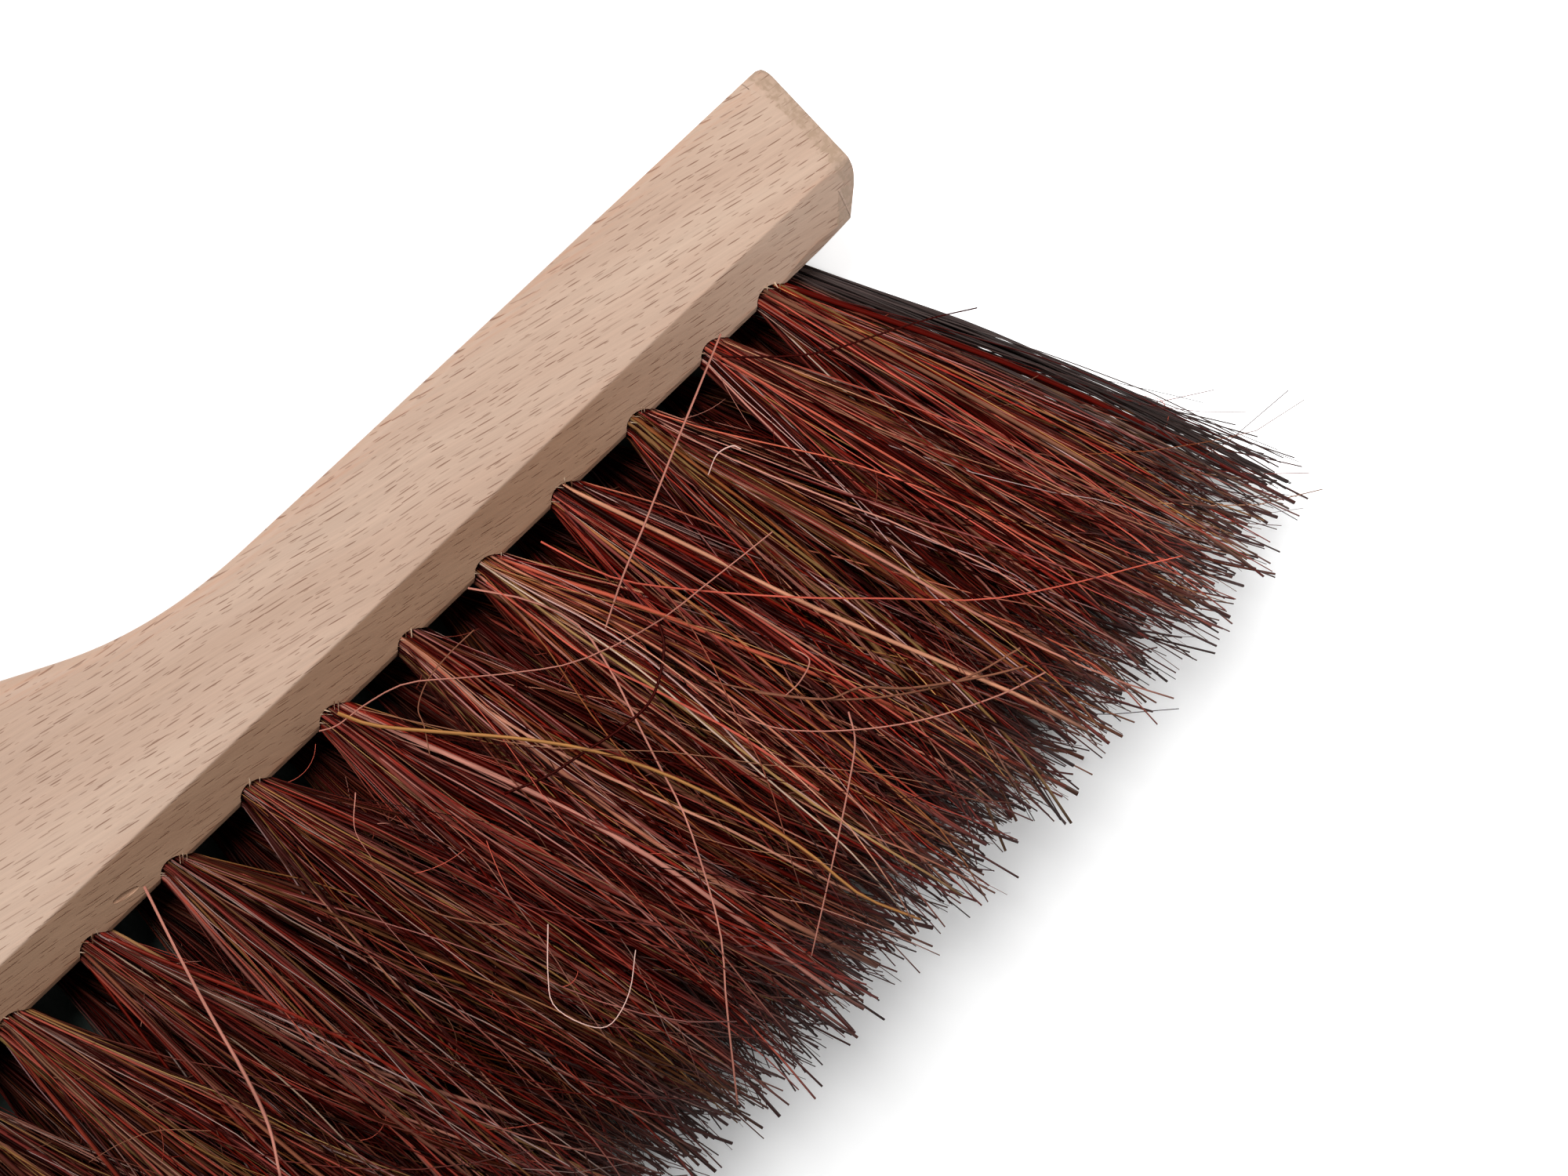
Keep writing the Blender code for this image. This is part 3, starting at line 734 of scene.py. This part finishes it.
def fibreMesh(name, lines, widths, flatness, taper, rng):
    # thousands of strands, so they are laid out as arrays and not modelled one by one:
    # a closed four-sided strip round each centre line, with its own strip of the bake's map
    count, rings = lines.shape[:2]
    sides = 4
    tangent = np.gradient(lines, axis=1)
    tangent /= np.linalg.norm(tangent, axis=2, keepdims=True)
    along = np.linspace(0, 1, rings)
    turn = rng.uniform(0, pi, count)[:, None] + along * rng.normal(0, 0.9, count)[:, None]
    sideways = np.cross(tangent, (0.0, 0.0, 1.0))
    sideways /= np.linalg.norm(sideways, axis=2, keepdims=True)
    normal = np.cross(sideways, tangent)
    wide = sideways * np.cos(turn)[..., None] + normal * np.sin(turn)[..., None]
    thin = np.cross(tangent, wide)
    half = (widths[:, None] / 2 * (1 - taper[:, None] * along ** 2))[..., None]
    points = np.zeros((count, rings, sides, 3))
    for s, (across, through) in enumerate(((1, 0), (0, 1), (-1, 0), (0, -1))):
        points[:, :, s] = lines + wide * half * across + thin * half * flatness[:, None, None] * through

    first = (np.arange(count) * rings * sides)[:, None, None]
    ring = np.arange(rings - 1)[None, :, None] * sides
    side = np.arange(sides)[None, None, :]
    after = (side + 1) % sides
    corners = [first + ring + s for s in (side, after, sides + after, sides + side)]
    quads = np.stack(corners, -1).reshape(-1, 4)
    start = first[:, 0, 0][:, None]
    caps = np.concatenate([start + np.arange(sides)[::-1], start + (rings - 1) * sides + np.arange(sides)])
    faces = np.concatenate([quads, caps])

    mesh = bpy.data.meshes.new(name)
    mesh.vertices.add(points.size // 3)
    mesh.vertices.foreach_set("co", points.ravel())
    mesh.loops.add(faces.size)
    mesh.loops.foreach_set("vertex_index", faces.ravel())
    mesh.polygons.add(len(faces))
    mesh.polygons.foreach_set("loop_start", np.arange(len(faces)) * 4)
    mesh.update(calc_edges=True)
    mesh.polygons.foreach_set("use_smooth", np.ones(len(faces), bool))

    fibre = np.repeat(np.arange(count), (rings - 1) * sides)[:, None]
    ringOf = np.tile(np.repeat(np.arange(rings - 1), sides), count)[:, None]
    sideOf = np.tile(np.arange(sides), count * (rings - 1))[:, None]
    u = (ringOf + (0, 0, 1, 1)) / (rings - 1)
    v = (sideOf + (0, 1, 1, 0)) / sides
    capFibre = np.tile(np.arange(count), 2)[:, None]
    capU = np.repeat((0.0, 1.0), count)[:, None] + np.array([[0.0, 0.02, 0.02, 0.0]]) - 0.01
    capV = np.tile(np.array([[0.3, 0.3, 0.7, 0.7]]), (2 * count, 1))
    fibre = np.concatenate([np.repeat(fibre, 4, 1), np.repeat(capFibre, 4, 1)])
    u, v = np.concatenate([u, capU]), np.concatenate([v, capV])
    columns = min(6, count)
    rows = ceil(count / columns)
    strip = np.stack([
        (fibre % columns + 0.06 + 0.88 * u) / columns, (fibre // columns + 0.1 + 0.8 * v) / rows], -1)
    mesh.uv_layers.new(name="OFBake").uv.foreach_set("vector", strip.astype(np.float32).ravel())
    length = np.linalg.norm(np.diff(lines, axis=1), axis=2).sum(axis=1) / mm
    offset = rng.uniform(0, 400, count)
    run = np.stack([u * length[fibre] + offset[fibre], v * 2 + offset[fibre]], -1)
    mesh.uv_layers.new(name="fibreRun").uv.foreach_set("vector", run.astype(np.float32).ravel())
    return mesh


def addFibres(name, lines, widths, colors, along, material, rng):
    # colors is one linear colour for each fibre, along runs from 0 at the wood to 1 at a cut end
    count, rings = lines.shape[:2]
    mesh = fibreMesh(name, lines, widths, rng.uniform(0.4, 0.85, count), rng.uniform(0.05, 0.45, count), rng)
    perPoint = np.repeat(np.concatenate([colors, np.ones((count, 1))], 1), rings * 4, axis=0)
    mesh.attributes.new("dye", "FLOAT_COLOR", "POINT").data.foreach_set(
        "color", perPoint.astype(np.float32).ravel())
    mesh.attributes.new("along", "FLOAT", "POINT").data.foreach_set(
        "value", np.repeat(along.ravel(), 4).astype(np.float32))
    mesh.materials.append(material)
    piece = addObject(name, mesh)
    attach(piece, "root")
    return piece


fibreFinish = {
    "lengthTone": ((0.0, 0.75), (0.2, 1.0), (0.85, 1.0), (1.0, 0.9)),  # brightness, wood to end; the dip near the wood is painted shade, where the tuft shades its roots
    "cutEnd": "#4A3C3A", "greyed": ((0.85, 0.0), (1.0, 0.65)),  # what the last millimetres grey towards
    "streakSize": (14.0, 0.45),  # mm along a fibre, and share of its girth
    "streakRange": (0.62, 1.32),
    "roughness": ((0.3, 0.34), (0.7, 0.5)),
    "sheen": (0.11, "#FFD0BE"),
}


def makeFibre(values):
    # split palm-leaf fibre, dyed in the bundle: stiff strands, near-black to rust, with a dull satin sheen
    material, add = newMaterial("palmFibre")
    dye = add("Attribute", {"attribute_name": "dye"}).outputs["Color"]
    along = add("Attribute", {"attribute_name": "along"}).outputs["Fac"]
    run = add("UVMap", {"uv_map": "fibreRun"})
    length, girth = values["streakSize"]
    drawn = add("Mapping", {"Vector": run, "Scale": (1 / length, 1 / girth, 1)})
    streak = add("TexNoise", {"Vector": drawn, "Scale": 1.0, "Detail": 3.0, "Roughness": 0.6})
    low, high = values["streakRange"]
    streaks = add("MapRange", {0: streak, "From Min": 0.3, "From Max": 0.7, "To Min": low, "To Max": high})
    # painted shade: fibres are darker near the wood
    tone = add("ValToRGB", {"Fac": along}, values["lengthTone"])
    light = add("Math.MULTIPLY", {0: streaks, 1: tone})
    colored = add("VectorMath.SCALE", {0: dye, "Scale": light})
    greyed = add("ValToRGB", {"Fac": along}, values["greyed"])
    final = add("Mix", {"data_type": "RGBA", 0: greyed, 6: colored, 7: values["cutEnd"]})
    rough = add("ValToRGB", {"Fac": streak}, values["roughness"])
    level, tint = values["sheen"]
    add("OutputMaterial", {"Surface": add("BsdfPrincipled", {
        "IOR": 1.5, "Specular IOR Level": level, "Specular Tint": tint,
        "Base Color": final.outputs[2], "Roughness": rough})})
    return material


def dyeColors(codes):
    return np.array([linearColor(code)[:3] for code in codes])


def pickWidths(values, count, rng):
    shares, low, high = np.array(values["widths"]).T
    kind = rng.choice(len(shares), count, p=shares / shares.sum())
    return rng.uniform(low[kind], high[kind]) * values["thin"] * mm


def pickColors(values, slot, clump, rng):
    # each clump has one colour, and most of its fibres have one of their own instead
    column = ["dark_fibre", "red_brown_fibre", "orange_brown_fibre"].index(slot)
    codes, shares = zip(*fibreColors.values())
    shares = np.array(shares)[:, column]
    own = rng.choice(len(codes), len(clump), p=shares / shares.sum())
    shared = rng.choice(len(codes), values["clumps"], p=shares / shares.sum())[clump]
    kind = np.where(rng.uniform(0, 1, len(clump)) < values["ownColor"], own, shared)
    brightness = np.exp(rng.normal(*values["brightness"], (len(clump), 1)))
    colors = dyeColors(codes)[kind] * brightness * rng.normal(1, values["channelNoise"], (len(clump), 3))
    colors += np.maximum(brightness - 1, 0) * values["paler"] * dyeColors([values["pale"]])
    colors[:, 1:] *= np.minimum(brightness, 1) ** values["deeper"]
    colors *= np.minimum(1, values["brightest"] / colors.max(axis=1))[:, None]
    return colors, np.where(kind == len(codes) - 1, paleWidest * mm, 1.0)


def makeTufts(roots, values, material):
    slots = {part["node"]: part["material_slot"] for part in frame["record"]["subparts"]}
    tufts = {}
    for i, (name, root) in enumerate(roots.items()):
        rng = np.random.default_rng(400 + i)
        row = name.split("_")[0]
        slot = slots[f"tuft_{name}"]
        widths = pickWidths(values, values["count"], rng)
        if name == "end":
            widths = np.maximum(widths, values["endThinnest"] * mm)
        lines, clump, places = bundleLines(root, row, widths, values, rng)
        count = len(lines)
        # painted shade: fibres away from a tuft's outer face are darkened towards the inner shade tint
        outward = {"upper": places[:, 1], "lower": -places[:, 1], "end": 2 * np.abs(places[:, 1]) - 1}[row]
        byPlace, middle, spread = values["outward"]
        depth = np.clip(outward * byPlace + middle + rng.normal(0, spread, count), 0, 1)
        colors, widest = pickColors(values, slot, clump, rng)
        colors = colors * blend(np.array(values["inner"][row]), 1.0, depth[:, None])
        if name == "end":
            byPlace, middle, spread = values["toTip"]
            toTip = np.clip(places[:, :1] * byPlace + middle + rng.normal(0, spread, (count, 1)), 0, 1)
            black = dyeColors([values["tipSide"]]) * np.exp(rng.normal(0, values["tipSpread"], (count, 1)))
            colors = blend(colors * values["endDim"], black, toTip)
        # painted shade: the tufts darken towards the handle, where the light falls off
        fromTip = (tipX - root["mouth"].x) / mm
        colors = colors * blend(1.0, values["dim"][0], smoothStep(fromTip, values["dim"][1]))
        along = np.tile(np.linspace(0, 1, lines.shape[1]), (count, 1))
        tuft = addFibres(
            f"tuftFibres_{name}", lines, np.minimum(widths, widest), colors, along, material, rng)
        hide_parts(f"tuft_{name}")
        tufts[name] = lines
    return tufts


hairValues = {
    "perTuft": 14,
    "length": (2.5, 9.0),  # mm
    "width": (0.07, 0.14),
    "splay": (12, 50),  # degrees off the fibre that they split from
    "curl": 55.0,  # degrees of turn over their length
    "lift": 8.0,  # degrees
    "steps": 8,
    "dyes": ("rust", "chestnut", "brown", "umber"), "brightness": (0.6, 1.2),
    "limits": (0.6, 33.0, 0.8),  # mm over the table, lowest, highest, and how softly that comes
}


def makeHairs(tufts, values, material):
    # fine hairs that have split from the outer fibres
    rng = np.random.default_rng(77)
    lines = []
    for name, fibres in tufts.items():
        for _ in range(0 if name == "end" else values["perTuft"]):
            fibre = fibres[rng.integers(len(fibres))]
            ring = rng.integers(3, fibres.shape[1] - 3)
            along = Vector(fibre[ring + 1] - fibre[ring]).normalized()
            side = 1 if rng.uniform() < 0.5 else -1
            turn = side * radians(rng.uniform(*values["splay"]))
            curl = side * radians(rng.normal(0, values["curl"])) / values["steps"]
            lift = radians(rng.normal(0, values["lift"]))
            step = rng.uniform(*values["length"]) / values["steps"] * mm
            place, points = Vector(fibre[ring]), []
            for _ in range(values["steps"] + 1):
                points.append(tuple(place))
                ahead = Matrix.Rotation(turn, 3, "Z") @ along
                place = place + (ahead + Vector((0, 0, sin(lift)))) * step
                turn += curl
            lines.append(points)
    lines = np.array(lines)
    lines[..., 2] = softLimit(lines[..., 2], *(limit * mm for limit in values["limits"]))
    count = len(lines)
    dyes = dyeColors(fibreColors[name][0] for name in values["dyes"])
    colors = dyes[rng.integers(0, len(dyes), count)] * rng.uniform(*values["brightness"], (count, 1))
    widths = rng.uniform(*values["width"], count) * mm
    along = np.full(lines.shape[:2], 0.5)
    hairs = addFibres("fineHairs", lines, widths, colors, along, material, rng)


# loose fibres that lie over the tufts: colour, width in mm, and a curve through points given as
# mm from the block's tip and mm out from the bristle face
strayFibres = [
    ("chestnut", 0.30, [(26, -1), (33, 2), (40, 5), (49, 9), (55, 11.5), (61, 14.5)]),
    ("nearBlack", 0.36, [(28, 1), (24, 5), (19, 9), (13, 12), (7, 15), (2, 18)]),
    ("rust", 0.32, [(59, 2), (56, 11), (50, 19), (42, 28), (35, 35), (27, 43), (18, 49), (11, 53), (6, 56)]),
    ("chestnut", 0.24, [
        (93, 0), (91, 1), (87, 1.5), (82, 3), (77, 7), (72, 11), (66, 15), (57, 18), (49, 19), (39, 20)]),
    ("ochre", 0.62, [
        (90, 0), (88, 4), (83, 10), (77, 17), (72, 24), (68, 32), (65, 41), (63, 49), (62, 57), (59, 64)]),
    ("chestnut", 0.36, [
        (69, 0), (65, 6), (63, 12), (64, 18), (66, 24), (68, 30), (70, 36), (73, 42), (77, 49), (82, 55),
        (89, 64)]),
    ("rosy", 0.20, [(90, 34), (94, 38), (96, 41), (95, 45), (93, 47), (89, 46), (85, 43)]),
    ("nearBlack", 0.36, [(56, 18), (58, 21), (63, 24), (68, 24), (73, 23), (78, 22), (83, 20)]),
    ("brown", 0.22, [(72, 4), (76, 4), (80, 4.5), (83, 6), (84, 8), (86, 11)]),
    ("chestnut", 0.26, [(48, 41), (50, 44), (54, 47), (60, 51), (71, 58)]),
    ("brown", 0.28, [(28, 50), (35, 48), (42, 44), (48, 39), (53, 33), (57, 27)]),
    ("chestnut", 0.22, [(28, 54), (34, 52), (42, 48), (49, 43), (55, 37), (58, 31)]),
    ("brown", 0.40, [(54, 32), (49, 38), (45, 40), (41, 44), (34, 49), (29, 52)]),
    ("chestnut", 0.20, [(47.5, 31), (47, 33.5), (49.5, 34.5), (52, 34.5)]),
    ("rosy", 0.28, [(39.5, 10), (37, 9), (35, 9.5), (34.5, 10.5)]),
    ("brown", 0.22, [(133, 24), (137, 20), (141, 18), (145, 17)]),
    ("chestnut", 0.20, [(95, 8), (98, 11), (99, 15)]),
    ("chestnut", 0.46, [(119.5, -1), (122, 7), (124, 14), (126, 22), (128, 28), (131, 33)]),
    ("rust", 0.60, [(67, 1), (66, 8), (65, 15), (62, 24), (59, 34), (57, 45)]),
    ("brown", 0.22, [(99.5, 15), (99.5, 20), (98, 24.5), (95, 29), (93, 31)]),
]
strayLift = (9.5, 0.22, 19.0, 0.3)  # mm over the middle: at the wood, more for each mm out, at most, spread
straySteps = 26


def curveThrough(points, count):
    # a smooth curve through given points, at even steps
    points = np.array(points, float)
    points = np.concatenate([[2 * points[0] - points[1]], points, [2 * points[-1] - points[-2]]])
    places = np.linspace(0, len(points) - 3 - 1e-6, count)
    k = places.astype(int)
    t = (places - k)[:, None]
    a, b, c, d = (points[k + n] for n in range(4))
    square, cube = 2 * a - 5 * b + 4 * c - d, 3 * b - a - 3 * c + d
    return 0.5 * (2 * b + (c - a) * t + square * t ** 2 + cube * t ** 3)


def makeStrays(material):
    rng = np.random.default_rng(9)
    atWood, perOut, most, spread = strayLift
    lines = []
    for _, _, points in strayFibres:
        curve = curveThrough(points, straySteps)
        lift = np.minimum(atWood + perOut * curve[:, 1], most) + rng.normal(0, spread)
        lines.append(np.stack(spot(curve[:, 0], -curve[:, 1], lift), 1))
    dyes, widths, _ = zip(*strayFibres)
    colors = dyeColors(fibreColors[dye][0] for dye in dyes)
    along = np.full((len(lines), straySteps), 0.5)
    strays = addFibres(
        "strayFibres", np.array(lines), np.array(widths) * mm, colors, along, material, rng)


splinterValues = {
    "perHole": 5,
    "around": (35, 165),  # degrees round the hole's mouth, 0 at the tip's side
    "length": (0.8, 2.4), "width": (0.25, 0.55),  # mm
    "point": 0.04,  # mm, radius of the thin end
    "flat": 0.45,
    "astray": 24.0,  # degrees off the grain
    "patches": ((0.42, "#7A5138"), (0.58, "#C9AD93")), "patchScale": 900.0,
}


def makeSplinters(roots, values):
    # the drill has left torn slivers of beech where the holes break out of the bevel
    material, add = newMaterial("tornBeech")
    place = add("TexCoord").outputs["Object"]
    noise = add("TexNoise", {"Vector": place, "Scale": values["patchScale"], "Detail": 2.0})
    tone = add("ValToRGB", {"Fac": noise}, values["patches"])
    add("OutputMaterial", {"Surface": add("BsdfPrincipled", {
        "Roughness": 0.7, "Specular IOR Level": 0.2, "Base Color": tone})})
    rng = np.random.default_rng(61)
    high, wide = blockValues["bevel"]
    radius = blockValues["holeRadius"]
    splinters = []
    for name, root in roots.items():
        if not name.startswith("upper"):
            continue
        for _ in range(values["perHole"]):
            turn = radians(rng.uniform(*values["around"]))
            x = root["mouth"].x / mm + cos(turn) * radius
            up = (root["mouth"].z - middleZ) / mm + sin(turn) * radius
            rise = (up - (thickness / mm / 2 - wide)) * high / wide
            if rise < 0.1:
                continue
            length, width = rng.uniform(*values["length"]), rng.uniform(*values["width"])
            bpy.ops.mesh.primitive_cone_add(
                vertices=5, radius1=width / 2 * mm, radius2=values["point"] * mm, depth=length * mm,
                location=(x * mm, faceY + rise * mm, middleZ + up * mm))
            splinter = bpy.context.object
            splinter.scale = (1, values["flat"], 1)
            side = copysign(90, cos(turn)) + 180 + rng.normal(0, values["astray"])
            splinter.rotation_euler = (atan2(high, wide), radians(side), 0)
            splinters.append(splinter)
    torn = joined(splinters[::-1])
    torn.name = "tornSplinters"
    bpy.ops.object.transform_apply(location=True, rotation=True, scale=True)
    torn.data.materials.append(material)
    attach(torn, "root")


wireValues = {
    "brushScale": (300, 6000, 6000),  # waves in a metre along the wire, and across it
    "color": ((0.3, "#A9ABAA"), (0.7, "#C6C8C7")),
    "roughness": ((0.3, 0.3), (0.7, 0.45)),
}


def makeWire(values):
    # flat-rolled galvanised steel wire: dull grey, lightly brushed along its length
    material, add = newMaterial("galvanisedWire")
    place = add("TexCoord").outputs["Object"]
    scaled = add("Mapping", {"Vector": place, "Scale": values["brushScale"]})
    brushed = add("TexNoise", {"Vector": scaled, "Scale": 1.0})
    grey = add("ValToRGB", {"Fac": brushed}, values["color"])
    rough = add("ValToRGB", {"Fac": brushed}, values["roughness"])
    add("OutputMaterial", {"Surface": add("BsdfPrincipled", {
        "Metallic": 1.0, "Base Color": grey, "Roughness": rough})})
    for name, node in frame["nodes"].items():
        if name.startswith("anchor_"):
            for materialSlot in node.material_slots:
                materialSlot.material = material


bpy.context.scene.view_settings.view_transform = "Standard"
addCamera(viewValues)
addLights(viewValues)
addTable(viewValues)
print("stage: camera, lamps and table")

roots = holeRoots()
block = makeBlock(blockValues)
drillBlock(block, blockValues, roots)
block.data.materials.append(makeBeech(beechValues))
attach(block, "root")
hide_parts("block_and_handle")
makeSplinters(roots, splinterValues)
print("stage: block, handle and holes")

palmFibre = makeFibre(fibreFinish)
tufts = makeTufts(roots, fibreValues, palmFibre)
print("stage: tufts")

makeHairs(tufts, hairValues, palmFibre)
makeStrays(palmFibre)
print("stage: fine hairs and stray fibres")

makeWire(wireValues)
print("stage: anchors")
